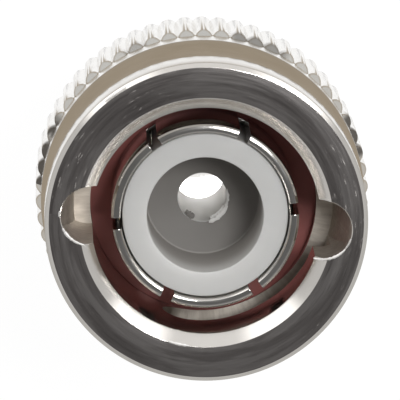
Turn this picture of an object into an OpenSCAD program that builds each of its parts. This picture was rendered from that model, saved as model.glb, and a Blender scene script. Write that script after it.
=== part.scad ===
// Cable plug of a bayonet-coupled coaxial connector, standing on its crimp stem.
// +Z runs along the plug's axis towards its mating face, and Z = 0 is the end of the stem.
// Places inside the coupling nut are depths below its front face.

/* [Coupling nut] */
// Length of the coupling nut
nut_length = 10.8; // [10.2:0.1:12]
// Diameter of the nut's bore, which takes the jack's barrel
nut_bore_d = 9.8; // [9.7:0.05:10]
// Width of the chamfer round the mouth of the bore
mouth_chamfer = 0.5; // [0.2:0.05:0.7]
// Diameter of the plain collar at the front
collar_d = 13.8; // [13.4:0.1:14.2]
// Length of the collar
collar_length = 1.9; // [1.4:0.1:2.4]
// Chamfer on the collar's front edge
collar_chamfer = 0.18; // [0.1:0.02:0.3]
// Diameter of the neck just behind the collar
neck_d = 13.2; // [12.9:0.1:13.3]
// Diameter where the neck's cone ends
cone_d = 14.02; // [13.9:0.02:14.2]
// Depth at which the neck's cone ends
cone_depth = 5.4; // [4.6:0.1:5.8]
// Thickness of the lip inside the nut that draws the plug and the jack together
lip_thickness = 0.6; // [0.4:0.05:0.9]
// Diameter of the recess behind the lip
recess_d = 10.6; // [10.2:0.1:11.4]
// Depth of the recess behind the lip
recess_depth = 0.55; // [0.55:0.05:0.8]

/* [Knurl] */
// Diameter over the knurl's crests
knurl_d = 14.5; // [14.3:0.05:14.7]
// Height of the knurl's teeth
knurl_height = 0.22; // [0.1:0.02:0.3]
// Number of teeth
knurl_teeth = 58; // [40:2:64]
// Share of the pitch that a tooth's foot takes
knurl_fullness = 0.94; // [0.8:0.02:0.96]
// Plain length between the cone and the teeth
knurl_lead = 1.1; // [0.6:0.1:1.6]
// Length of the teeth's slope at their front ends
knurl_run_in = 0.35; // [0.2:0.05:0.6]
// Chamfer at the rear end of the teeth
knurl_chamfer = 0.3; // [0.15:0.05:0.45]

/* [Bayonet tracks] */
// Diameter of the jack's lugs
lug_d = 1.98; // [1.9:0.02:2.04]
// Diameter over the tips of the jack's two lugs
lug_span = 11.1; // [11:0.02:11.2]
// Clearance round a lug in its track
lug_clearance = 0.06; // [0.04:0.01:0.12]
// Width of the notch by which a lug enters
notch_width = 2.5; // [2.3:0.05:2.7]
// Reach of the notch from the axis, at the front face
notch_reach = 6.22; // [6:0.02:6.3]
// Depth of a lug's centre where it turns into the helical track
track_depth = 3.85; // [3.4:0.05:4.1]
// Depth that the track gains from its start to its crest
track_rise = 0.7; // [0.4:0.05:0.9]
// Depth that the track gives back from its crest to the locking pocket
track_fall = 0.22; // [0.1:0.02:0.35]
// Angle from the notch to the start of the rise
rise_start = 14; // [10:1:20]
// Angle from the notch to the track's crest
crest_angle = 60; // [50:1:66]
// Angle from the notch to the locking pocket
pocket_angle = 95; // [88:1:104]

/* [Plug body] */
// Diameter of the stem that the crimp ferrule closes on
stem_d = 5; // [4.6:0.1:5.6]
// Length of the stem
stem_length = 8; // [6:0.5:10]
// Diameter of the bore that takes the cable's dielectric
cable_bore_d = 3.8; // [3:0.1:4]
// Length of that bore, from the stem's end to the insulator's seat
cable_bore_length = 10.2; // [9.6:0.1:10.6]
// Diameter of the barrel that carries the nut
barrel_d = 8; // [7.8:0.05:8.1]
// Length of the shank between the stem and the nut
shank_length = 3.6; // [3:0.1:4.5]
// Width across the shank's two spanner flats
flats_width = 7.3; // [7:0.1:7.6]
// Thickness of the flange
flange_thickness = 1; // [0.8:0.05:1.4]

/* [Contact and insulator] */
// Outer diameter of the slotted contact sleeve
sleeve_d = 8.05; // [8:0.05:8.15]
// Wall of the contact sleeve
sleeve_wall = 0.4; // [0.3:0.02:0.46]
// Reach of the sleeve in front of the body's flange
sleeve_reach = 5.6; // [5.2:0.1:6]
// Length of the sleeve's root, which is pressed into the body
root_length = 2.6; // [2:0.1:2.7]
// Number of slots, with one spring finger between each two
slot_count = 6; // [4:1:8]
// Width of a slot
slot_width = 0.5; // [0.3:0.05:0.7]
// Length of a slot
slot_length = 4.9; // [3.5:0.1:5]
// Angle of the first slot from the line of the notches
slot_offset = 8.3; // [0:0.1:30]
// Distance from the sleeve's tips back to the insulator's front face
insulator_setback = 0.35; // [0.1:0.05:0.6]
// Diameter of the bore in the front of the insulator
insulator_bore_d = 5; // [4.7:0.05:5.2]
// Depth of that bore
insulator_bore_depth = 4.15; // [3.5:0.05:4.6]
// Diameter of the hole for the centre contact
pin_hole_d = 2.14; // [1.9:0.02:2.3]
// Width of the lead-in at the rear end of that hole
pin_lead_in = 0.13; // [0.1:0.01:0.3]

/* [Gasket and washers] */
// Thickness of the gasket
gasket_thickness = 1.4; // [1:0.05:1.5]
// Depth of the gasket's seat round the foot of the contact sleeve
gasket_seat = 0.18; // [0.16:0.01:0.2]
// Thickness of the two flat washers
washer_thickness = 0.25; // [0.15:0.05:0.35]
// Thickness of the wave washer's strip
wave_thickness = 0.2; // [0.12:0.02:0.25]
// Height of the wave washer between the flat washers
wave_height = 1; // [0.8:0.05:1.2]
// Number of waves round the wave washer
wave_count = 3; // [2:1:4]
// Thickness of the split retaining ring
ring_thickness = 0.45; // [0.35:0.05:0.5]
// Outer diameter of the retaining ring
ring_d = 9.4; // [9:0.1:9.6]
// Depth of the retaining ring's groove in the barrel
ring_groove = 0.4; // [0.3:0.02:0.42]
// Width of the gap in the retaining ring
ring_gap = 2.4; // [1.5:0.1:3.5]

/* [Hidden] */
$fn = 96;

// Clearances: a running fit that turns, a guide and a wiping gasket in the nut's bore, and fixed seats
running_gap = 0.06;
guide_gap = 0.1;
wipe_gap = 0.03;
seat_gap = 0.01;
spring_gap = 0.07;
play = 0.02;
overshoot = 1;

// Radii
bore_r = nut_bore_d / 2;
barrel_r = barrel_d / 2;
sleeve_r = sleeve_d / 2;
flange_r = bore_r - guide_gap;
seat_r = sleeve_r - gasket_seat;
insulator_r = sleeve_r - sleeve_wall - spring_gap;
root_r = insulator_r;
root_wall = 0.45;
tail_r = root_r - root_wall - seat_gap;
washer_in_r = barrel_r + running_gap;
washer_out_r = flange_r - play;

// Levels, from the stem's end up
shank_z = stem_length;
nut_z = shank_z + shank_length;
lip_z = nut_z + recess_depth;
lip_top_z = lip_z + lip_thickness;
thrust_z = lip_top_z + play;
wave_z = thrust_z + washer_thickness + play;
front_washer_z = wave_z + wave_height + seat_gap;
flange_z = front_washer_z + washer_thickness + seat_gap;
flange_top_z = flange_z + flange_thickness;
front_z = nut_z + nut_length;
sleeve_top_z = flange_top_z + sleeve_reach;
root_z = flange_top_z - root_length;
insulator_top_z = sleeve_top_z - insulator_setback;
shoulder_z = flange_top_z + sleeve_wall;
gasket_z = flange_top_z + seat_gap;
gasket_top_z = gasket_z + gasket_thickness;

// Track: the width for a lug, the radius of its floor, and the depth of its rear wall at the notch
track_width = lug_d + 2 * lug_clearance;
track_floor_r = lug_span / 2 + lug_clearance;
notch_depth = track_depth + track_width / 2 + play;

// Turns an outline of [radius, height] points into a solid
module turned(outline) {
    rotate_extrude() polygon(outline);
}

// Flat ring from one level to another
module ring(inner_r, outer_r, bottom, top) {
    translate([0, 0, bottom])
        difference() {
            cylinder(r = outer_r, h = top - bottom);
            translate([0, 0, -overshoot]) cylinder(r = inner_r, h = top - bottom + 2 * overshoot);
        }
}

// Solid through rings of four points, in order counterclockwise round the axis
module swept(rings, closed) {
    count = 4 * len(rings);
    last = count - 4;
    sides = [for (i = [0 : len(rings) - (closed ? 1 : 2)], k = [0 : 3])
        let (a = 4 * i + k, b = 4 * i + (k + 1) % 4, c = (a + 4) % count, d = (b + 4) % count)
        each [[a, b, c], [b, d, c]]];
    ends = closed ? [] : [[3, 2, 1, 0], [last, last + 1, last + 2, last + 3]];
    polyhedron([for (corners = rings) each corners], concat(sides, ends));
}

// ---- Coupling nut ----

// Depth of a lug's centre at an angle along the track: level, a smooth rise, and a fall to the pocket
function ease(share) = (1 - cos(180 * share)) / 2;
function lug_depth(angle) =
    angle < rise_start ? track_depth
    : angle < crest_angle
        ? track_depth + track_rise * ease((angle - rise_start) / (crest_angle - rise_start))
        : track_depth + track_rise
            - track_fall * ease((angle - crest_angle) / (pocket_angle - crest_angle));

// Cutter for one track, which runs clockwise from its notch as seen from the mating face
module track_cutter() {
    inner = bore_r - 0.5;
    outer = track_floor_r + 0.5;
    half = track_width / 2;
    steps = 38;
    function corners(angle) =
        [for (c = [[inner, -half], [outer, -half], [outer, half], [inner, half]])
            [c[0] * cos(angle), -c[0] * sin(angle), front_z - lug_depth(angle) + c[1]]];
    swept([for (i = [steps : -1 : 0]) corners(i * pocket_angle / steps)], closed = false);
    rotate([0, 0, -pocket_angle])
        translate([inner, 0, front_z - lug_depth(pocket_angle)])
            rotate([0, 90, 0]) cylinder(d = track_width + play, h = outer - inner);
}

// Notch by which a lug enters: a round cut whose outer wall leans in to the track's floor
module notch_cutter() {
    lean = (notch_reach - track_floor_r) / notch_depth;
    intersection() {
        translate([notch_reach - notch_width / 2, 0, front_z - notch_depth])
            cylinder(d = notch_width, h = notch_depth + overshoot);
        translate([0, 0, front_z - notch_depth])
            cylinder(r1 = track_floor_r, r2 = notch_reach + lean * overshoot, h = notch_depth + overshoot);
    }
}

// Straight knurl: round-topped teeth, sloped at both ends
module knurl() {
    foot_r = knurl_d / 2 - knurl_height;
    half_foot = knurl_fullness * PI * foot_r / knurl_teeth;
    tooth_r = (pow(half_foot, 2) + pow(knurl_height, 2)) / (2 * knurl_height);
    top_z = front_z - cone_depth - knurl_lead;
    intersection() {
        for (i = [0 : knurl_teeth - 1])
            rotate([0, 0, i * 360 / knurl_teeth])
                translate([knurl_d / 2 - tooth_r, 0, nut_z])
                    cylinder(r = tooth_r, h = top_z - nut_z, $fn = 32);
        turned([
            [foot_r - knurl_height, nut_z],
            [knurl_d / 2 - knurl_chamfer, nut_z],
            [knurl_d / 2, nut_z + knurl_chamfer],
            [knurl_d / 2, top_z - knurl_run_in],
            [foot_r, top_z],
            [foot_r - knurl_height, top_z]
        ]);
    }
}

module coupling_nut() {
    collar_r = collar_d / 2;
    neck_r = neck_d / 2;
    foot_r = knurl_d / 2 - knurl_height;
    neck_step = collar_r - neck_r;
    color([0.72, 0.70, 0.67])
    difference() {
        union() {
            turned([
                [0, nut_z],
                [knurl_d / 2 - knurl_chamfer, nut_z],
                [foot_r, nut_z + knurl_chamfer - knurl_height],
                [foot_r, front_z - cone_depth],
                [cone_d / 2, front_z - cone_depth],
                [neck_r, front_z - collar_length - neck_step],
                [collar_r, front_z - collar_length],
                [collar_r, front_z - collar_chamfer],
                [collar_r - collar_chamfer, front_z],
                [0, front_z]
            ]);
            knurl();
        }
        turned([
            [0, nut_z - overshoot],
            [recess_d / 2, nut_z - overshoot],
            [recess_d / 2, lip_z],
            [barrel_r + running_gap, lip_z],
            [barrel_r + running_gap, lip_top_z],
            [bore_r, lip_top_z],
            [bore_r, front_z - mouth_chamfer],
            [bore_r + mouth_chamfer + overshoot, front_z + overshoot],
            [0, front_z + overshoot]
        ]);
        for (side = [0, 180])
            rotate([0, 0, side]) {
                notch_cutter();
                intersection() {
                    track_cutter();
                    translate([0, 0, nut_z]) cylinder(r = track_floor_r, h = nut_length);
                }
            }
    }
}

// ---- Plug body ----

module plug_body() {
    stem_r = stem_d / 2;
    stem_chamfer = 0.25;
    shank_chamfer = 0.3;
    ring_clearance = 2 * play;
    ring_top_z = lip_z - play;
    flats_inset = 0.8;
    flats_top_z = nut_z - flats_inset;
    color([0.70, 0.67, 0.62])
    difference() {
        turned([
            [0, 0],
            [stem_r - stem_chamfer, 0],
            [stem_r, stem_chamfer],
            [stem_r, shank_z],
            [barrel_r - shank_chamfer, shank_z],
            [barrel_r, shank_z + shank_chamfer],
            [barrel_r, flange_z],
            [flange_r, flange_z],
            [flange_r, flange_top_z],
            [0, flange_top_z]
        ]);
        turned([
            [0, -overshoot],
            [cable_bore_d / 2, -overshoot],
            [cable_bore_d / 2, cable_bore_length],
            [tail_r + seat_gap, cable_bore_length],
            [tail_r + seat_gap, root_z - seat_gap],
            [root_r + seat_gap, root_z - seat_gap],
            [root_r + seat_gap, flange_top_z + overshoot],
            [0, flange_top_z + overshoot]
        ]);
        // groove of the retaining ring
        ring(barrel_r - ring_groove, barrel_r + overshoot,
             ring_top_z - ring_thickness - ring_clearance / 2, ring_top_z + ring_clearance / 2);
        // spanner flats on the shank
        for (side = [-1, 1])
            translate([side * (flats_width + barrel_r) / 2, 0, (shank_z - overshoot + flats_top_z) / 2])
                cube([barrel_r, barrel_d + overshoot, flats_top_z - shank_z + overshoot], center = true);
    }
}

// ---- Contact and insulator ----

module outer_contact() {
    tip = 0.15;
    inner_r = sleeve_r - sleeve_wall;
    color([0.78, 0.77, 0.75])
    difference() {
        turned([
            [tail_r + seat_gap, root_z],
            [root_r, root_z],
            [root_r, flange_top_z + seat_gap],
            [seat_r, flange_top_z + seat_gap],
            [seat_r, gasket_top_z + play],
            [sleeve_r, gasket_top_z + play],
            [sleeve_r, sleeve_top_z - 2 * tip],
            [sleeve_r - tip, sleeve_top_z],
            [inner_r + tip / 2, sleeve_top_z],
            [inner_r, sleeve_top_z - tip],
            [inner_r, shoulder_z],
            [tail_r + seat_gap, shoulder_z]
        ]);
        for (i = [0 : slot_count - 1])
            rotate([0, 0, slot_offset + i * 360 / slot_count])
                translate([0, -slot_width / 2, sleeve_top_z - slot_length])
                    cube([sleeve_r + overshoot, slot_width, slot_length + overshoot]);
    }
}

module insulator() {
    edge = 0.06;
    bore_floor_z = insulator_top_z - insulator_bore_depth;
    bore = insulator_bore_d / 2;
    hole = pin_hole_d / 2;
    lead_length = 1;
    tail = tail_r - seat_gap;
    color([0.93, 0.93, 0.91])
    turned([
        [hole + pin_lead_in, cable_bore_length + seat_gap],
        [tail, cable_bore_length + seat_gap],
        [tail, shoulder_z + seat_gap],
        [insulator_r, shoulder_z + seat_gap],
        [insulator_r, insulator_top_z - edge],
        [insulator_r - edge, insulator_top_z],
        [bore + edge, insulator_top_z],
        [bore, insulator_top_z - edge],
        [bore, bore_floor_z],
        [hole, bore_floor_z],
        [hole, cable_bore_length + lead_length]
    ]);
}

// ---- Gasket and washers ----

module gasket() {
    round_edge = 0.06;
    inner_r = seat_r + play;
    outer_r = bore_r - wipe_gap;
    color([0.50, 0.13, 0.11])
    turned([
        [inner_r, gasket_z],
        [outer_r, gasket_z],
        [outer_r, gasket_top_z - round_edge],
        [outer_r - round_edge, gasket_top_z],
        [inner_r + round_edge, gasket_top_z],
        [inner_r, gasket_top_z - round_edge]
    ]);
}

module front_washer() {
    color([0.60, 0.60, 0.60])
    ring(washer_in_r, washer_out_r, front_washer_z, front_washer_z + washer_thickness);
}

// Strip that rises and falls round a ring, between the two flat washers
module wave_washer() {
    steps = 24 * wave_count;
    inner = washer_in_r + play;
    outer = washer_out_r - play;
    swing = (wave_height - wave_thickness) / 2;
    function corners(angle) =
        let (z = wave_z + swing * (1 + cos(wave_count * angle)))
        [for (c = [[inner, 0], [outer, 0], [outer, wave_thickness], [inner, wave_thickness]])
            [c[0] * cos(angle), c[0] * sin(angle), z + c[1]]];
    color([0.55, 0.55, 0.56])
    swept([for (i = [0 : steps - 1]) corners(i * 360 / steps)], closed = true);
}

module thrust_washer() {
    color([0.60, 0.60, 0.60])
    ring(washer_in_r, washer_out_r, thrust_z, thrust_z + washer_thickness);
}

module retaining_ring() {
    top = lip_z - play;
    inner_r = barrel_r - ring_groove + play;
    color([0.58, 0.58, 0.58])
    difference() {
        ring(inner_r, ring_d / 2, top - ring_thickness, top);
        translate([0, -ring_gap / 2, top - ring_thickness - overshoot])
            cube([ring_d, ring_gap, ring_thickness + 2 * overshoot]);
    }
}

coupling_nut();
plug_body();
outer_contact();
insulator();
gasket();
front_washer();
wave_washer();
thrust_washer();
retaining_ring();
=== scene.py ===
import math
import random

import bpy
from mathutils import Matrix, Vector


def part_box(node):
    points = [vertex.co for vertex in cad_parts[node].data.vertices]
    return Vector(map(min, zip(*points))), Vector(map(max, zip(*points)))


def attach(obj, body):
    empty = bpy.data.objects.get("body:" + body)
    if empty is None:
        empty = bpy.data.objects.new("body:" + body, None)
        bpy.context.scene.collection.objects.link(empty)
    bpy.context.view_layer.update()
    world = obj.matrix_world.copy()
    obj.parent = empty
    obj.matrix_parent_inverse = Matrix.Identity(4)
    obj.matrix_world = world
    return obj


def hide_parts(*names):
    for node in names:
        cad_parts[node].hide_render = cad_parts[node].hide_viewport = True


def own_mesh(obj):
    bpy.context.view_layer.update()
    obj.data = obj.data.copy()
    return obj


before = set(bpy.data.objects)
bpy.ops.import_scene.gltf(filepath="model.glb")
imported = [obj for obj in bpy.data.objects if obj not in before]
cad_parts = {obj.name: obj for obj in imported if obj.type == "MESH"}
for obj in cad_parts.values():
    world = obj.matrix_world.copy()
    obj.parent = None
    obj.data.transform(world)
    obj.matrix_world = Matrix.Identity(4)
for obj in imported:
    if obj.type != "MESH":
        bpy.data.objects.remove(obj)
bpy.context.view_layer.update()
mm = 0.001
turn = 2 * math.pi


def levels(node):
    # bottom and top of a node, in millimetres
    low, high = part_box(node)
    return low.z / mm, high.z / mm


nutRear, nutFront = levels("coupling_nut")
print("frame loaded, nut front at", round(nutFront, 2), "mm")


# pieces are modelled in millimetres and shrunk to metres when they are finished

def deselectAll():
    if bpy.context.object and bpy.context.object.mode != "OBJECT":
        bpy.ops.object.mode_set(mode="OBJECT")
    bpy.ops.object.select_all(action="DESELECT")


def pick(piece):
    deselectAll()
    piece.select_set(True)
    bpy.context.view_layer.objects.active = piece
    return piece


def applyModifier(piece, kind, **settings):
    pick(piece)
    bpy.ops.object.modifier_add(type=kind)
    modifier = piece.modifiers[-1]
    for key, value in settings.items():
        setattr(modifier, key, value)
    bpy.ops.object.modifier_apply(modifier=modifier.name)


def rounded(corners, steps=3):
    # closed outline of (radius, height, fillet) corners with each fillet drawn as an arc
    points = []
    for i, (r, z, fillet) in enumerate(corners):
        here = Vector((r, z))
        if not fillet:
            points.append(here)
            continue
        back = (Vector(corners[i - 1][:2]) - here).normalized()
        ahead = (Vector(corners[(i + 1) % len(corners)][:2]) - here).normalized()
        half = back.angle(ahead) / 2
        centre = here + (back + ahead).normalized() * fillet / math.sin(half)
        reach = fillet / math.tan(half)
        first, last = here + back * reach - centre, here + ahead * reach - centre
        sweep = first.angle(last)
        for k in range(steps + 1):
            s = k / steps
            between = first * math.sin((1 - s) * sweep) + last * math.sin(s * sweep)
            points.append(centre + between / math.sin(sweep))
    return points


def latheTurn(name, outline, segments):
    # draws the outline by extruding a vertex from point to point, then spins it about Z
    deselectAll()
    bpy.ops.mesh.primitive_plane_add(size=0.1)
    piece = bpy.context.object
    piece.name = name
    bpy.ops.object.mode_set(mode="EDIT")
    bpy.ops.mesh.select_all(action="SELECT")
    bpy.ops.mesh.merge(type="CENTER")
    here = outline[0]
    bpy.ops.transform.translate(value=(here.x, 0, here.y))
    for there in list(outline[1:]) + [outline[0]]:
        bpy.ops.mesh.extrude_vertices_move(
            TRANSFORM_OT_translate={"value": (there.x - here.x, 0, there.y - here.y)})
        here = there
    bpy.ops.mesh.select_all(action="SELECT")
    bpy.ops.mesh.spin(steps=segments, angle=turn, center=(0, 0, 0), axis=(0, 0, 1), use_auto_merge=True)
    bpy.ops.mesh.select_all(action="SELECT")
    bpy.ops.mesh.remove_doubles(threshold=0.0005)
    bpy.ops.mesh.normals_make_consistent(inside=False)
    bpy.ops.object.mode_set(mode="OBJECT")
    return piece


def paintFaces(piece, material, chosen):
    # gives a material to the faces that the test picks by their middle and normal, in millimetres
    piece.data.materials.append(material)
    place = len(piece.data.materials) - 1
    for face in piece.data.polygons:
        middle = face.center
        if chosen(math.hypot(middle.x, middle.y), middle.z, face.normal):
            face.material_index = place


def cutAway(piece, cutter):
    applyModifier(piece, "BOOLEAN", operation="DIFFERENCE", object=cutter, solver="EXACT",
                  material_mode="TRANSFER")
    bpy.data.objects.remove(cutter)


def addOn(piece, other):
    applyModifier(piece, "BOOLEAN", operation="UNION", object=other, solver="EXACT")
    bpy.data.objects.remove(other)


def joinAll(first, others):
    pick(first)
    for piece in others:
        piece.select_set(True)
    bpy.ops.object.join()
    return first


def copyTurned(piece, angle):
    # a copy with its own mesh, turned about Z
    copy = piece.copy()
    copy.data = piece.data.copy()
    bpy.context.scene.collection.objects.link(copy)
    copy.data.transform(Matrix.Rotation(angle, 4, "Z"))
    return copy


def finishPiece(piece, body, sharpAngle=28):
    # millimetres to metres, smooth shading with crisp edges, and its place in the frame
    pick(piece)
    piece.scale = (mm, mm, mm)
    bpy.ops.object.transform_apply(location=True, rotation=True, scale=True)
    bpy.ops.object.shade_smooth_by_angle(angle=math.radians(sharpAngle))
    applyModifier(piece, "WEIGHTED_NORMAL", keep_sharp=True, weight=80)
    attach(piece, body)
    print("made", piece.name, len(piece.data.polygons), "faces")
    return piece


def wear(piece, material):
    piece.data.materials.clear()
    piece.data.materials.append(material)


def outward(tilt, side):
    # direction that leans from the plug's axis by its tilt, towards its side, both in degrees
    tilt, side = math.radians(tilt), math.radians(side)
    return Vector((math.sin(tilt) * math.cos(side), math.sin(tilt) * math.sin(side), math.cos(tilt)))


def feed(tree, socket, value):
    # links a socket to another one, or sets its value
    if isinstance(value, bpy.types.NodeSocket):
        tree.links.new(value, socket)
    else:
        socket.default_value = value


class Shader:
    # a small helper that adds and links the nodes of one material
    def __init__(self, name):
        self.material = bpy.data.materials.new(name)
        self.material.use_nodes = True
        self.tree = self.material.node_tree
        self.surface = self.tree.nodes["Principled BSDF"]
        self.place = self.add("ShaderNodeTexCoord").outputs["Object"]

    def add(self, kind, **settings):
        node = self.tree.nodes.new(kind)
        for key, value in settings.items():
            setattr(node, key, value)
        return node

    def put(self, socket, value):
        feed(self.tree, socket, value)

    def math(self, operation, first, second=0.0, third=0.0):
        node = self.add("ShaderNodeMath", operation=operation)
        for socket, value in zip(node.inputs, (first, second, third)):
            self.put(socket, value)
        return node.outputs[0]

    def noise(self, scale, detail=3.0, roughness=0.5, stretch=(1, 1, 1), at=None):
        mapping = self.add("ShaderNodeMapping")
        self.put(mapping.inputs["Vector"], at or self.place)
        mapping.inputs["Scale"].default_value = stretch
        node = self.add("ShaderNodeTexNoise")
        self.put(node.inputs["Vector"], mapping.outputs[0])
        self.put(node.inputs["Scale"], scale)
        self.put(node.inputs["Detail"], detail)
        self.put(node.inputs["Roughness"], roughness)
        return node.outputs["Fac"]

    def between(self, value, low, high, toLow=0.0, toHigh=1.0):
        node = self.add("ShaderNodeMapRange", clamp=True, interpolation_type="SMOOTHSTEP")
        for socket, number in zip(node.inputs, (value, low, high, toLow, toHigh)):
            self.put(socket, number)
        return node.outputs[0]

    def mix(self, share, first, second):
        node = self.add("ShaderNodeMix", data_type="RGBA")
        self.put(node.inputs[0], share)
        self.put(node.inputs[6], first if isinstance(first, bpy.types.NodeSocket) else (*first, 1))
        self.put(node.inputs[7], second if isinstance(second, bpy.types.NodeSocket) else (*second, 1))
        return node.outputs[2]

    def polar(self):
        # radius, angle and height about the plug's axis, as one vector and as three numbers
        parts = self.add("ShaderNodeSeparateXYZ")
        self.put(parts.inputs[0], self.place)
        x, y, z = parts.outputs
        squares = self.math("ADD", self.math("MULTIPLY", x, x), self.math("MULTIPLY", y, y))
        radius = self.math("SQRT", squares)
        angle = self.math("ARCTAN2", y, x)
        joined = self.add("ShaderNodeCombineXYZ")
        for socket, value in zip(joined.inputs, (radius, angle, z)):
            self.put(socket, value)
        return joined.outputs[0], radius, angle, z

    def bump(self, height, strength, distance):
        node = self.add("ShaderNodeBump")
        node.inputs["Strength"].default_value = strength
        node.inputs["Distance"].default_value = distance
        self.put(node.inputs["Height"], height)
        self.put(self.surface.inputs["Normal"], node.outputs[0])


# colour and roughness of the plain metals
metalTones = {"brightNickel": ((0.80, 0.775, 0.74), 0.15), "tornMetal": ((0.96, 0.95, 0.93), 0.5),
              "contactPlate": ((0.78, 0.76, 0.73), 0.12), "springSteel": ((0.5, 0.5, 0.5), 0.3)}
metalShade = 0.88    # how dark the dull spots of a plain metal are


def makePlainMetal(name):
    color, roughness = metalTones[name]
    s = Shader(name)
    s.surface.inputs["Metallic"].default_value = 1.0
    mottle = s.noise(900, 4, 0.6)
    s.put(s.surface.inputs["Base Color"], s.mix(mottle, tuple(c * metalShade for c in color), color))
    s.put(s.surface.inputs["Roughness"], s.between(mottle, 0.3, 0.7, roughness * 0.8, roughness * 1.25))
    return s.material


# tones of the knurl's plate, and the dark colour of the painted reflection at the teeth's front ends
knurlTones = {"dull": (0.88, 0.87, 0.85), "bright": (0.95, 0.94, 0.92), "darkReflection": (0.13, 0.12, 0.11)}
# painted dark reflections at the front ends of the knurl's teeth: middle and half width in degrees, and
# strength
darkReflectionPatches = ((171, 19, 0.95), (25, 9, 0.9), (73, 12, 0.55), (118, 5, 0.3), (-52, 9, 0.35),
                (-140, 12, 0.3))
# depths below the nut's front at which the painted dark reflection begins, is full, starts to fade and ends
darkReflectionDepths = (6.35, 6.5, 6.9, 7.6)


def makeKnurlNickel():
    # bright teeth with patches of painted dark reflection at their front ends
    s = Shader("knurlNickel")
    s.surface.inputs["Metallic"].default_value = 1.0
    angle, z = s.polar()[2:]
    mottle = s.noise(900, 4, 0.6)
    reflectionShare = 0.0
    for middle, half, strength in darkReflectionPatches:
        off = s.math("ABSOLUTE", s.math("SUBTRACT", angle, math.radians(middle)))
        edge = math.radians(half)
        reflectionShare = s.math("MAXIMUM", reflectionShare, s.between(off, edge * 0.7, edge, strength, 0.0))
    depth = s.math("SUBTRACT", nutFront * mm, z)
    begin, full, fade, end = (level * mm for level in darkReflectionDepths)
    front = s.math("MULTIPLY", s.between(depth, begin, full), s.between(depth, fade, end, 1.0, 0.0))
    paintedReflection = s.math("MULTIPLY", s.math("MULTIPLY", reflectionShare, front), s.between(mottle, 0.25, 0.45))
    plate = s.mix(mottle, knurlTones["dull"], knurlTones["bright"])
    # the plate darkens to the painted dark reflection where the patches fall
    s.put(s.surface.inputs["Base Color"], s.mix(paintedReflection, plate, knurlTones["darkReflection"]))
    rough = s.math("ADD", s.between(mottle, 0.3, 0.7, 0.18, 0.26), s.math("MULTIPLY", paintedReflection, 0.2))
    s.put(s.surface.inputs["Roughness"], rough)
    return s.material


# the neck's yellowed plating, partly a painted reflection of brown surroundings, and its clean plating
neckTones = {"yellowedAndReflected": (0.62, 0.575, 0.50), "clean": (0.78, 0.74, 0.67)}


def makeNeckTarnishAndReflection():
    # the neck's plating has yellowed a little, in patches, and the yellow tan is partly a painted reflection
    # of brown surroundings
    s = Shader("neckTarnishAndPaintedReflection")
    s.surface.inputs["Metallic"].default_value = 1.0
    blotch = s.noise(3, 4, 0.6, (900, 1, 300), s.polar()[0])
    s.put(s.surface.inputs["Base Color"], s.mix(blotch, neckTones["yellowedAndReflected"], neckTones["clean"]))
    s.put(s.surface.inputs["Roughness"], s.between(blotch, 0.3, 0.7, 0.13, 0.19))
    return s.material


faceTones = {"stroke": (0.40, 0.37, 0.36), "plate": (0.62, 0.585, 0.57), "pit": (0.34, 0.315, 0.305),
             "worn": (0.74, 0.70, 0.67)}
toolMarkDepth = 0.00001


def makeFaceNickel():
    # turned front face: tool marks round the axis, bright scratches and pits
    s = Shader("turnedFace")
    s.surface.inputs["Metallic"].default_value = 1.0
    around = s.polar()[0]
    rings = s.noise(1, 4, 0.65, (9000, 2.2, 1), around)
    strokes = s.noise(1, 5, 0.6, (1900, 1.1, 1), around)
    cloud = s.noise(380, 4, 0.6)
    plate = s.mix(s.between(strokes, 0.42, 0.60), faceTones["stroke"], faceTones["plate"])
    plate = s.mix(s.between(s.math("MULTIPLY", strokes, rings), 0.13, 0.20), faceTones["pit"], plate)
    grain = s.between(s.noise(1, 3, 0.6, (9000, 9, 1), around), 0.58, 0.72)
    worn = s.math("MULTIPLY", grain, s.between(cloud, 0.52, 0.68))
    s.put(s.surface.inputs["Base Color"], s.mix(worn, plate, faceTones["worn"]))
    rough = s.math("ADD", s.between(rings, 0.3, 0.75, 0.15, 0.21), s.math("MULTIPLY", worn, 0.16))
    s.put(s.surface.inputs["Roughness"], rough)
    s.bump(s.math("ADD", rings, strokes), 0.15, toolMarkDepth)
    return s.material


milledTones = {"dull": (0.50, 0.45, 0.395), "bright": (0.66, 0.61, 0.545)}


def makeMilled():
    # cut walls of the notches and tracks: a dull, slightly beige plating with faint cutter marks
    s = Shader("milledNickel")
    s.surface.inputs["Metallic"].default_value = 1.0
    marks = s.noise(1, 3, 0.5, (900, 26, 7000), s.polar()[0])
    blotch = s.noise(520, 4, 0.6)
    tone = s.between(s.math("ADD", marks, blotch), 0.75, 1.25)
    s.put(s.surface.inputs["Base Color"], s.mix(tone, milledTones["dull"], milledTones["bright"]))
    s.put(s.surface.inputs["Roughness"], s.between(blotch, 0.3, 0.7, 0.44, 0.58))
    s.bump(marks, 0.15, toolMarkDepth)
    return s.material


# bright and dull colour, roughness, and how far light runs inside each plastic; the hole wall's plastic is
# painted lighter, as painted light coming through from behind
plasticTones = {"whitePlastic": ((0.62, 0.62, 0.61), (0.58, 0.58, 0.57), 0.42, 0.6),
                "flapPlastic": ((0.26, 0.245, 0.23), (0.20, 0.19, 0.178), 0.5, 0.0),
                "litHoleWall": ((0.86, 0.85, 0.83), (0.78, 0.77, 0.74), 0.5, 0.0)}


def makePlastic(name):
    bright, dull, roughness, glow = plasticTones[name]
    s = Shader(name)
    s.surface.inputs["Subsurface Weight"].default_value = glow
    s.surface.inputs["Subsurface Radius"].default_value = (1.0, 0.95, 0.9)
    s.surface.inputs["Subsurface Scale"].default_value = 0.001
    s.surface.inputs["Roughness"].default_value = roughness
    s.put(s.surface.inputs["Base Color"], s.mix(s.noise(700, 4, 0.6), dull, bright))
    return s.material


# painted shade inside the bore: a dark floor, and a wall darker at its foot than at its top
boreShadeTones = {"floorDark": (0.205, 0.193, 0.18), "floor": (0.235, 0.222, 0.206),
             "wallTop": (0.55, 0.545, 0.53), "wallFoot": (0.37, 0.352, 0.332)}


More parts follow.
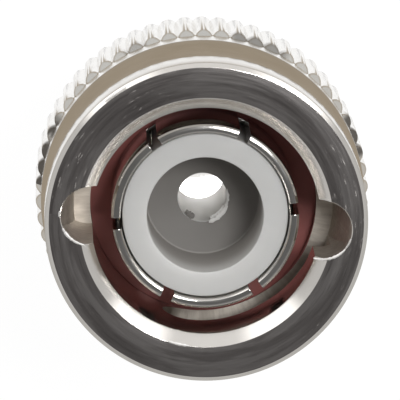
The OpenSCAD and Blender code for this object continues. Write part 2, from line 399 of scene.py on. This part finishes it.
def makeBorePlastic(top):
    # painted shade: the bore's wall darkens with depth to the dark grey of its floor, which is painted shade
    # too
    s = Shader("boreShade")
    s.surface.inputs["Roughness"].default_value = 0.5
    around, radius, angle, z = s.polar()
    depth = s.math("SUBTRACT", top * mm, z)
    shade = s.between(depth, 0.2 * mm, 2.4 * mm)
    floor = s.mix(s.noise(500, 4, 0.6), boreShadeTones["floorDark"], boreShadeTones["floor"])
    wall = s.mix(shade, boreShadeTones["wallTop"], boreShadeTones["wallFoot"])
    s.put(s.surface.inputs["Base Color"], s.mix(s.between(radius, 2.40 * mm, 2.49 * mm), floor, wall))
    return s.material


siliconeTones = {"dark": (0.30, 0.082, 0.072), "light": (0.37, 0.105, 0.094)}


def makeSilicone():
    s = Shader("redSilicone")
    s.surface.inputs["Roughness"].default_value = 0.45
    tone = s.mix(s.noise(600, 3, 0.6), siliconeTones["dark"], siliconeTones["light"])
    s.put(s.surface.inputs["Base Color"], tone)
    return s.material


nickel = makePlainMetal("brightNickel")
tornMetal = makePlainMetal("tornMetal")
contactPlate = makePlainMetal("contactPlate")
steel = makePlainMetal("springSteel")
knurlNickel = makeKnurlNickel()
neckTarnishAndReflection = makeNeckTarnishAndReflection()
turnedFace = makeFaceNickel()
milled = makeMilled()
plastic = makePlastic("whitePlastic")
flapPlastic = makePlastic("flapPlastic")
litHolePlastic = makePlastic("litHoleWall")
silicone = makeSilicone()
print("materials made")


# lean from the plug's axis, side of the lean and roll in degrees; the rest in millimetres
cameraSizes = {"tilt": 10.8, "side": 102.3, "roll": 3.5, "distance": 270.0, "lens": 571.0,
               "sensor": 36.0, "right": 0.27662, "down": 0.98732}


def makeCamera():
    c = cameraSizes
    roll = math.radians(c["roll"])
    back = outward(c["tilt"], c["side"])
    rightward = Vector((math.cos(roll), math.sin(roll), 0))
    rightward = (rightward - back * rightward.dot(back)).normalized()
    upward = back.cross(rightward)
    aim = Vector((0, 0, nutFront)) + upward * c["down"] - rightward * c["right"]
    bpy.ops.object.camera_add(location=(aim + back * c["distance"]) * mm)
    camera = bpy.context.object
    camera.name = "camera"
    camera.rotation_euler = Matrix((rightward, upward, back)).transposed().to_euler()
    camera.data.lens = c["lens"]
    camera.data.sensor_width = c["sensor"]
    camera.data.clip_start = 0.01
    camera.data.clip_end = 5
    bpy.context.scene.camera = camera


makeCamera()
print("camera set")


nutSizes = {
    "bore": 4.9, "mouth": 0.5, "collar": 6.9, "collarLength": 1.9, "collarChamfer": 0.18,
    "neck": 6.6, "cone": 7.01, "coneDepth": 5.4, "foot": 7.03, "crest": 7.25,
    "knurlDepth": 6.5, "runIn": 0.35, "rearChamfer": 0.3, "teeth": 58, "fullness": 0.94,
    "lip": 4.06, "lipDepth": 9.65, "recess": 5.3, "recessDepth": 10.25,
    "length": nutFront - nutRear, "perTooth": 12,
}


def toothReach(angle):
    # how far the knurl reaches at an angle: one round-topped tooth, repeated
    n = nutSizes
    height = n["crest"] - n["foot"]
    halfFoot = n["fullness"] * math.pi * n["foot"] / n["teeth"]
    radius = (halfFoot ** 2 + height ** 2) / (2 * height)
    centre = n["crest"] - radius
    pitch = turn / n["teeth"]
    off = (angle + pitch / 2) % pitch - pitch / 2
    across = centre * math.sin(off)
    if abs(across) >= radius:
        return n["foot"]
    return max(n["foot"], centre * math.cos(off) + math.sqrt(radius ** 2 - across ** 2))


def nutOutline():
    n = nutSizes
    corners = [
        (n["bore"] + n["mouth"], 0, 0.03), (n["collar"] - n["collarChamfer"], 0, 0.05),
        (n["collar"], n["collarChamfer"], 0.05), (n["collar"], n["collarLength"], 0.06),
        (n["neck"], n["collarLength"] + n["collar"] - n["neck"], 0.15),
        (n["cone"], n["coneDepth"] - 0.03, 0),
        (n["foot"], n["coneDepth"], 0), (n["foot"], n["knurlDepth"] - 0.05, 0),
    ]
    corners += [(n["foot"], n["knurlDepth"] + n["runIn"] * k / 6, 0) for k in range(7)]
    corners += [(n["foot"], n["length"] - n["rearChamfer"] * (6 - k) / 6, 0) for k in range(6)]
    corners += [
        (n["crest"] - n["rearChamfer"], n["length"], 0), (n["recess"], n["length"], 0.05),
        (n["recess"], n["recessDepth"], 0), (n["lip"], n["recessDepth"], 0.04),
        (n["lip"], n["lipDepth"], 0.04),
        (n["bore"], n["lipDepth"], 0), (n["bore"], n["mouth"], 0.03),
    ]
    return rounded([(r, nutFront - depth, fillet) for r, depth, fillet in corners])


def raiseKnurl(piece):
    n = nutSizes
    slope = (n["crest"] - n["foot"]) / n["runIn"]
    for vertex in piece.data.vertices:
        radius = math.hypot(vertex.co.x, vertex.co.y)
        depth = nutFront - vertex.co.z
        if abs(radius - n["foot"]) > 0.001 or depth < n["knurlDepth"] - 0.01:
            continue
        reach = min(toothReach(math.atan2(vertex.co.y, vertex.co.x)),
                    n["foot"] + (depth - n["knurlDepth"]) * slope,
                    n["crest"] - n["rearChamfer"] + n["length"] - depth)
        vertex.co.x *= reach / radius
        vertex.co.y *= reach / radius


trackSizes = {
    "width": 2.1, "floor": 5.61, "notchWidth": 2.5, "notchReach": 6.22, "depth": 3.85, "rise": 0.7,
    "fall": 0.22, "riseStart": 14, "crest": 60, "pocket": 95, "steps": 60, "rimBreak": 0.035,
    "overlap": 0.5, "pocketPlay": 0.01, "overshoot": 1.0,
}


def lugDepth(angle):
    # depth of a lug's centre along the track: level, a smooth rise, and a fall to the pocket
    t = trackSizes
    if angle < t["riseStart"]:
        return t["depth"]
    if angle < t["crest"]:
        share = (angle - t["riseStart"]) / (t["crest"] - t["riseStart"])
        return t["depth"] + t["rise"] * (1 - math.cos(math.pi * share)) / 2
    share = (angle - t["crest"]) / (t["pocket"] - t["crest"])
    return t["depth"] + t["rise"] - t["fall"] * (1 - math.cos(math.pi * share)) / 2


def makeTrackCutter():
    # a plate across the track, extruded and turned step by step along the lug's path,
    # with a round pocket at one end and the notch at the other
    t = trackSizes
    inner = nutSizes["bore"] - t["overlap"]
    bpy.ops.mesh.primitive_plane_add(
        size=1, location=((inner + t["floor"]) / 2, 0, nutFront - t["depth"]), rotation=(math.pi / 2, 0, 0))
    cutter = bpy.context.object
    cutter.name = "trackCutter"
    cutter.scale = (t["floor"] - inner, t["width"], 1)
    bpy.ops.object.transform_apply(location=True, rotation=True, scale=True)
    bpy.ops.object.mode_set(mode="EDIT")
    bpy.ops.mesh.select_all(action="SELECT")
    step = t["pocket"] / t["steps"]
    for i in range(t["steps"]):
        drop = lugDepth((i + 1) * step) - lugDepth(i * step)
        bpy.ops.mesh.extrude_region_move(TRANSFORM_OT_translate={"value": (0, 0, -drop)})
        bpy.ops.transform.rotate(value=math.radians(step), orient_axis="Z", orient_type="GLOBAL",
                                 center_override=(0, 0, 0))
    bpy.ops.mesh.select_all(action="SELECT")
    bpy.ops.mesh.normals_make_consistent(inside=False)
    bpy.ops.object.mode_set(mode="OBJECT")
    last = cutter.data.vertices[-1].co
    side = math.atan2(last.y, last.x)
    pocket = Vector((math.cos(side), math.sin(side), 0)) * (inner + t["floor"]) / 2
    pocket.z = nutFront - lugDepth(t["pocket"])
    bpy.ops.mesh.primitive_cylinder_add(
        vertices=64, radius=t["width"] / 2 + t["pocketPlay"], depth=t["floor"] - inner,
        location=pocket, rotation=(0, math.pi / 2, side))
    addOn(cutter, bpy.context.object)
    addOn(cutter, makeNotchCutter())
    return cutter


def makeNotchCutter():
    # a round cut straight down, inside a cone that leans in to the track's floor
    t = trackSizes
    depth = t["depth"] + t["width"] / 2
    rise = t["overshoot"]
    middle = nutFront - depth + (depth + rise) / 2
    slope = (t["notchReach"] - t["floor"]) / depth
    bpy.ops.mesh.primitive_cone_add(
        vertices=288, radius1=t["floor"], radius2=t["notchReach"] + slope * rise,
        depth=depth + rise, location=(0, 0, middle))
    cone = bpy.context.object
    bpy.ops.object.transform_apply(location=True, rotation=True, scale=True)
    bpy.ops.mesh.primitive_cylinder_add(
        vertices=96, radius=t["notchWidth"] / 2, depth=depth + rise,
        location=(t["notchReach"] - t["notchWidth"] / 2, 0, middle))
    notch = bpy.context.object
    bpy.ops.object.transform_apply(location=True, rotation=True, scale=True)
    applyModifier(notch, "BOOLEAN", operation="INTERSECT", object=cone, solver="EXACT")
    bpy.data.objects.remove(cone)
    return notch


def makeRimFlare():
    # broken edge round a notch's mouth
    t = trackSizes
    half = t["notchWidth"] / 2
    bpy.ops.mesh.primitive_cone_add(
        vertices=96, radius1=half - t["rimBreak"], radius2=half + 3 * t["rimBreak"],
        depth=4 * t["rimBreak"], location=(t["notchReach"] - half, 0, nutFront))
    flare = bpy.context.object
    bpy.ops.object.transform_apply(location=True, rotation=True, scale=True)
    wear(flare, nickel)
    return flare


def makeNut():
    nut = latheTurn("couplingNut", nutOutline(), nutSizes["teeth"] * nutSizes["perTooth"])
    raiseKnurl(nut)
    wear(nut, nickel)
    n = nutSizes
    paintFaces(nut, turnedFace, lambda r, z, normal: z > nutFront - 0.02 and normal.z > 0.95)
    # the neck band: yellowed plating, partly painted reflection
    paintFaces(nut, neckTarnishAndReflection, lambda r, z, normal:
               n["neck"] - 0.1 < r < n["cone"]
               and n["collarLength"] + 0.2 < nutFront - z < n["coneDepth"] - 0.02)
    paintFaces(nut, knurlNickel, lambda r, z, normal: r > n["foot"] - 0.02 and nutFront - z > n["coneDepth"])
    cutter = makeTrackCutter()
    wear(cutter, milled)
    joinAll(cutter, [copyTurned(cutter, math.pi)])
    cutAway(nut, cutter)
    flare = makeRimFlare()
    joinAll(flare, [copyTurned(flare, math.pi)])
    cutAway(nut, flare)
    return finishPiece(nut, "nut")


couplingNut = makeNut()
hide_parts("coupling_nut")

# torn metal left by the cutter on the front face: centre, start and end angle round it, radius, width
burrSizes = {
    "rightRim": (4.97, 0, -104, -38, 1.27, 0.10), "leftRim": (4.97, 180, 28, 82, 1.27, 0.13),
    "rightTail": (4.97, 0, -34, -14, 1.26, 0.035), "leftNick": (4.97, 180, -6, 4, 1.30, 0.07),
    "mouthFlakes": (0, 0, -104, -94, 5.38, 0.09), "edgeFlakes": (0, 0, 124, 133, 6.80, 0.07),
}
burrEdges = {"degreesPerStep": 3, "fewestSteps": 8, "narrowest": 0.35, "taper": 0.4, "lift": 0.08,
             "ripple": 0.015, "sink": 0.01, "thickness": 0.03}


def makeBurrs():
    # each burr is a thin strip bent round its arc, torn at the edges, then given thickness
    e = burrEdges
    random.seed(7)
    strips = []
    for name, (reach, side, first, last, radius, width) in burrSizes.items():
        steps = max(e["fewestSteps"], int(abs(last - first) * radius / e["degreesPerStep"]))
        bpy.ops.mesh.primitive_grid_add(x_subdivisions=steps, y_subdivisions=2, size=1)
        strip = bpy.context.object
        strip.name = name
        out = math.radians(side)
        centre = Vector((reach * math.cos(out), reach * math.sin(out), nutFront))
        tear = [random.uniform(e["narrowest"], 1.0) for k in range(steps + 1)]
        for vertex in strip.data.vertices:
            share, across = vertex.co.x + 0.5, vertex.co.y
            taper = math.sin(math.pi * min(max(share, 0.02), 0.98)) ** e["taper"]
            reachOut = radius + across * width * taper * tear[round(share * steps)]
            a = math.radians(side + first + (last - first) * share)
            lift = (0.5 - abs(across)) * e["lift"] * taper + random.uniform(0, e["ripple"])
            vertex.co = centre + Vector((reachOut * math.cos(a), reachOut * math.sin(a), lift - e["sink"]))
        applyModifier(strip, "SOLIDIFY", thickness=e["thickness"], offset=-1)
        strips.append(strip)
    burrs = joinAll(strips[0], strips[1:])
    burrs.name = "rimBurrs"
    wear(burrs, tornMetal)
    return finishPiece(burrs, "nut")


makeBurrs()


contactRoot, contactTip = levels("outer_contact")
flangeTop = levels("plug_body")[1]
contactSizes = {"outer": 4.025, "seat": 3.845, "seatTop": 16.74, "wall": 0.4, "round": 0.2,
                "innerRound": 0.12, "bevel": 0.05, "root": 3.555, "tail": 3.105, "slots": 6,
                "slotWidth": 0.5, "slotLength": 4.9, "slotTurn": 8.3, "sawReach": 20}
seatGap = 0.01    # between the body and what is pressed into it


def makeContact():
    c = contactSizes
    inner = c["outer"] - c["wall"]
    shoulder = flangeTop + c["wall"]
    contact = latheTurn("contactSleeve", rounded([
        (c["tail"], contactRoot, 0), (c["root"], contactRoot, 0), (c["root"], flangeTop + seatGap, 0),
        (c["seat"], flangeTop + seatGap, 0), (c["seat"], c["seatTop"], 0), (c["outer"], c["seatTop"], 0),
        (c["outer"], contactTip, c["round"]), (inner, contactTip, c["innerRound"]),
        (inner, shoulder, 0), (c["tail"], shoulder, 0)]), 288)
    wear(contact, contactPlate)
    for i in range(c["slots"] // 2):
        bpy.ops.mesh.primitive_cube_add(size=1, location=(0, 0, contactTip))
        saw = bpy.context.object
        saw.scale = (c["sawReach"], c["slotWidth"], 2 * c["slotLength"])
        saw.rotation_euler = (0, 0, math.radians(c["slotTurn"] + i * 360 / c["slots"]))
        bpy.ops.object.transform_apply(location=True, rotation=True, scale=True)
        cutAway(contact, saw)
    applyModifier(contact, "BEVEL", width=c["bevel"], segments=3, limit_method="ANGLE",
                  angle_limit=math.radians(55))
    return finishPiece(contact, "plug")


contactSleeve = makeContact()
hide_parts("outer_contact")


insulatorTail, insulatorTop = levels("insulator")
insulatorSizes = {"outer": 3.555, "bore": 2.5, "boreDepth": 4.15, "hole": 1.07, "leadIn": 0.13,
                  "leadLength": 0.99, "tail": 3.085}
boreFloor = insulatorTop - insulatorSizes["boreDepth"]


def makeInsulator():
    n = insulatorSizes
    shoulder = flangeTop + contactSizes["wall"] + seatGap
    piece = latheTurn("insulatorTube", rounded([
        (n["hole"] + n["leadIn"], insulatorTail, 0), (n["tail"], insulatorTail, 0), (n["tail"], shoulder, 0),
        (n["outer"], shoulder, 0), (n["outer"], insulatorTop, 0.08), (n["bore"], insulatorTop, 0.07),
        (n["bore"], boreFloor, 0.05), (n["hole"], boreFloor, 0.02),
        (n["hole"], insulatorTail + n["leadLength"], 0)]), 192)
    wear(piece, plastic)
    paintFaces(piece, makeBorePlastic(insulatorTop), lambda r, z, normal:
               n["hole"] + 0.1 < r < n["bore"] + 0.01 and z > boreFloor - 0.02)
    # the contact hole's wall is painted lighter: painted light, as if lit through the plastic from behind
    paintFaces(piece, litHolePlastic, lambda r, z, normal:
               r < n["hole"] + n["leadIn"] + 0.01 and z < boreFloor - 0.01)
    return finishPiece(piece, "plug")


insulatorTube = makeInsulator()
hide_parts("insulator")

# torn plastic round the mouth of the contact's hole: first and last angle, radius, width, lift
crumbSizes = {"flap": (224, 251, 0.93, 0.30, 0.0), "crumbs": (-72, -8, 1.10, 0.24, 0.05),
              "lip": (-66, -20, 0.98, 0.16, -0.05), "shaving": (-12, 22, 1.09, 0.10, 0.03)}
crumbEdges = {"steps": 22, "narrowest": 0.45, "taper": 0.5, "waver": 0.012, "twist": 0.8, "crown": 0.07,
              "ripple": 0.035, "thickness": 0.05}


def makeHoleCrumbs():
    # strips torn at both edges, bent round the hole and roughened, then given thickness
    e = crumbEdges
    random.seed(11)
    pieces = []
    for name, (first, last, radius, width, lift) in crumbSizes.items():
        bpy.ops.mesh.primitive_grid_add(x_subdivisions=e["steps"], y_subdivisions=4, size=1)
        strip = bpy.context.object
        strip.name = name
        tear = [random.uniform(e["narrowest"], 1.0) for k in range(e["steps"] + 1)]
        for vertex in strip.data.vertices:
            share, across = vertex.co.x + 0.5, vertex.co.y
            taper = math.sin(math.pi * min(max(share, 0.03), 0.97)) ** e["taper"]
            reachOut = radius + across * width * taper * tear[round(share * e["steps"])]
            reachOut += random.uniform(-e["waver"], e["waver"])
            a = math.radians(first + (last - first) * share + random.uniform(-e["twist"], e["twist"]))
            height = boreFloor + lift + (0.5 - abs(across)) * e["crown"] + random.uniform(0, e["ripple"])
            vertex.co = (reachOut * math.cos(a), reachOut * math.sin(a), height)
        applyModifier(strip, "SOLIDIFY", thickness=e["thickness"], offset=-1)
        # all crumbs but the flap wear the hole wall's lighter plastic, which is painted light
        wear(strip, flapPlastic if name == "flap" else litHolePlastic)
        pieces.append(strip)
    crumbs = joinAll(pieces[0], pieces[1:])
    crumbs.name = "holeCrumbs"
    return finishPiece(crumbs, "plug", 50)


makeHoleCrumbs()

gasketBottom, gasketTop = levels("gasket")
gasketSizes = {"inner": 3.865, "outer": 4.89, "edge": 0.1}


def makeGasket():
    g = gasketSizes
    piece = latheTurn("gasketRing", rounded([
        (g["inner"], gasketBottom, 0.05), (g["outer"], gasketBottom, 0.05),
        (g["outer"], gasketTop, 0), (g["inner"], gasketTop, g["edge"])], 5), 192)
    wear(piece, silicone)
    return finishPiece(piece, "plug")


gasketRing = makeGasket()
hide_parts("gasket")


bodySizes = {"stem": 2.5, "stemChamfer": 0.25, "shank": 8.0, "barrel": 4.0, "shankChamfer": 0.3,
             "flange": 4.8, "flangeThickness": 1.0, "cableBore": 1.9, "seat": 10.2, "tail": 3.105,
             "rootLength": 2.61, "root": 3.565, "ringGroove": 3.6, "ringBottom": 11.66,
             "ringTop": 12.15, "flats": 3.65, "flatsTop": 10.8, "cutDepth": 4.0, "cutWidth": 12.0,
             "cutRun": 1.0}


def makeBody():
    b = bodySizes
    flangeFoot, rootFoot = flangeTop - b["flangeThickness"], flangeTop - b["rootLength"]
    piece = latheTurn("plugBody", rounded([
        (b["cableBore"], 0, 0.08), (b["stem"] - b["stemChamfer"], 0, 0.03),
        (b["stem"], b["stemChamfer"], 0.03),
        (b["stem"], b["shank"], 0.05), (b["barrel"] - b["shankChamfer"], b["shank"], 0.03),
        (b["barrel"], b["shank"] + b["shankChamfer"], 0.03), (b["barrel"], b["ringBottom"], 0),
        (b["ringGroove"], b["ringBottom"], 0), (b["ringGroove"], b["ringTop"], 0),
        (b["barrel"], b["ringTop"], 0), (b["barrel"], flangeFoot, 0), (b["flange"], flangeFoot, 0.03),
        (b["flange"], flangeTop, 0.03), (b["root"], flangeTop, 0), (b["root"], rootFoot, 0),
        (b["tail"], rootFoot, 0), (b["tail"], b["seat"], 0), (b["cableBore"], b["seat"], 0)]), 192)
    middle = (b["flatsTop"] + b["shank"] - b["cutRun"]) / 2
    for side in (-1, 1):    # a flat on each side of the shank
        bpy.ops.mesh.primitive_cube_add(size=1, location=(side * (b["flats"] + b["cutDepth"] / 2), 0, middle))
        plate = bpy.context.object
        plate.scale = (b["cutDepth"], b["cutWidth"], b["flatsTop"] - b["shank"] + b["cutRun"])
        bpy.ops.object.transform_apply(location=True, rotation=True, scale=True)
        cutAway(piece, plate)
    wear(piece, nickel)
    return finishPiece(piece, "plug")


plugBody = makeBody()
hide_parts("plug_body")

for name in ("front_washer", "thrust_washer", "retaining_ring"):
    wear(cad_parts[name], steel)
print("washers and ring dressed")


waveBottom, waveTop = levels("wave_washer")
waveSizes = {"inner": 4.08, "outer": 4.76, "thickness": 0.2, "waves": 3, "keep": 0.5}


def makeWave():
    # a flat ring whose points are raised and lowered round the circle
    w = waveSizes
    piece = latheTurn("waveWasher", rounded([
        (w["inner"], 0, 0), (w["outer"], 0, 0), (w["outer"], w["thickness"], 0.04),
        (w["inner"], w["thickness"], 0.04)]), 144)
    swing = (waveTop - waveBottom - w["thickness"]) / 2
    for vertex in piece.data.vertices:
        angle = math.atan2(vertex.co.y, vertex.co.x)
        vertex.co.z += waveBottom + swing * (1 + math.cos(w["waves"] * angle))
    wear(piece, steel)
    return finishPiece(piece, "plug")


waveWasher = makeWave()
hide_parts("wave_washer")
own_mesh(waveWasher)


floorSizes = {"glow": 1.05, "share": 0.9, "nearEdge": 11.5, "tableEdge": 15.0,
              "tableEnd": 20.0, "farStart": 55.0, "width": 1.2}
tableTone = (0.36, 0.305, 0.235)
farTone = (0.52, 0.515, 0.50)


def makeFloor():
    # white to the eye; metal also mirrors a brownish table top round the part and grey further off
    f = floorSizes
    bpy.ops.mesh.primitive_plane_add(size=f["width"], location=(0, 0, 0))
    floor = bpy.context.object
    floor.name = "floor"
    s = Shader("paleFloor")
    s.surface.inputs["Base Color"].default_value = (0.9, 0.9, 0.9, 1)
    s.surface.inputs["Roughness"].default_value = 0.9
    around, radius, angle, z = s.polar()
    near = s.between(radius, f["nearEdge"] * mm, f["tableEdge"] * mm)
    far = s.between(radius, f["tableEnd"] * mm, f["farStart"] * mm)
    mirrored = s.mix(near, (1, 1, 1), s.mix(far, tableTone, farTone))
    rays = s.add("ShaderNodeLightPath")
    glow = s.add("ShaderNodeEmission")
    glow.inputs["Strength"].default_value = f["glow"]
    s.put(glow.inputs["Color"], s.mix(rays.outputs["Is Glossy Ray"], (1, 1, 1), mirrored))
    seen = s.math("MAXIMUM", rays.outputs["Is Camera Ray"], rays.outputs["Is Glossy Ray"])
    blend = s.add("ShaderNodeMixShader")
    s.put(blend.inputs[0], s.math("MULTIPLY", seen, f["share"]))
    s.put(blend.inputs[1], s.surface.outputs[0])
    s.put(blend.inputs[2], glow.outputs[0])
    s.put(s.tree.nodes["Material Output"].inputs["Surface"], blend.outputs[0])
    floor.data.materials.append(s.material)


# brightness overhead, at the sides and in the window; heights of its edge and of the dark cap;
# then degrees round the axis
worldSizes = {"zenith": 0.13, "rim": 0.62, "window": 1.7, "cap": 0.90, "edge": 0.66,
              "middle": 92.0, "halfWidth": 56.0, "windowEdge": 6.0, "blind": 25.0, "blindShare": 0.52,
              "blindInside": 8.0, "blindOutside": 5.0}


def makeWorld():
    # grey at the sides with one broad white window, a dimmer blind in its middle, and dark overhead
    w = worldSizes
    world = bpy.data.worlds.new("studio")
    bpy.context.scene.world = world
    world.use_nodes = True
    tree = world.node_tree
    background = tree.nodes["Background"]

    def work(operation, first, second=0.0):
        node = tree.nodes.new("ShaderNodeMath")
        node.operation = operation
        feed(tree, node.inputs[0], first)
        feed(tree, node.inputs[1], second)
        return node.outputs[0]

    def slope(value, low, high, toLow, toHigh):
        node = tree.nodes.new("ShaderNodeMapRange")
        node.interpolation_type = "SMOOTHSTEP"
        for socket, number in zip(node.inputs, (value, low, high, toLow, toHigh)):
            feed(tree, socket, number)
        return node.outputs[0]

    def blend(angle, start, end, toLow, toHigh):
        return slope(angle, math.radians(start), math.radians(end), toLow, toHigh)

    place = tree.nodes.new("ShaderNodeTexCoord")
    parts = tree.nodes.new("ShaderNodeSeparateXYZ")
    tree.links.new(place.outputs["Generated"], parts.inputs[0])
    side = work("ARCTAN2", parts.outputs[1], parts.outputs[0])
    turned = work("SUBTRACT", side, math.radians(w["middle"]))
    off = work("ABSOLUTE", work("PINGPONG", turned, math.pi))
    window = blend(off, w["halfWidth"] - w["windowEdge"], w["halfWidth"] + w["windowEdge"],
                   w["window"], w["rim"])
    blind = blend(off, w["blind"] - w["blindInside"], w["blind"] + w["blindOutside"], w["blindShare"], 1.0)
    level = slope(parts.outputs[2], w["edge"], w["cap"], work("MULTIPLY", window, blind), w["zenith"])
    rays = tree.nodes.new("ShaderNodeLightPath")
    strength = tree.nodes.new("ShaderNodeMix")
    tree.links.new(rays.outputs["Is Camera Ray"], strength.inputs[0])
    tree.links.new(level, strength.inputs[2])
    strength.inputs[3].default_value = 1.0
    tree.links.new(strength.outputs[0], background.inputs["Strength"])
    background.inputs["Color"].default_value = (1, 0.99, 0.98, 1)


# tilt from the axis and side round it in degrees, distance and size in metres, and power
lampSizes = {"frontLamp": (20, 50, 0.35, 0.10, 0.52), "rearGlow": (180, 0, 0.0197, 0.003, 0.00013)}
lampAim = Vector((0, 0, 0.02))


def makeLamp(name):
    # a round soft lamp, aimed at the part
    tilt, side, distance, size, power = lampSizes[name]
    towards = outward(tilt, side)
    bpy.ops.object.light_add(type="AREA", location=towards * distance + lampAim)
    lamp = bpy.context.object
    lamp.name = name
    lamp.data.shape = "DISK"
    lamp.data.size = size
    lamp.data.energy = power
    lamp.rotation_euler = towards.to_track_quat("Z", "Y").to_euler()
    return lamp


makeFloor()
makeWorld()
makeLamp("frontLamp")
makeLamp("rearGlow").visible_camera = False    # shines up into the cable's bore
bpy.context.scene.view_settings.view_transform = "Standard"
print("stage lit")

for leftOver in [o for o in bpy.data.objects if o.type == "MESH" and not o.users_collection]:
    bpy.data.objects.remove(leftOver)
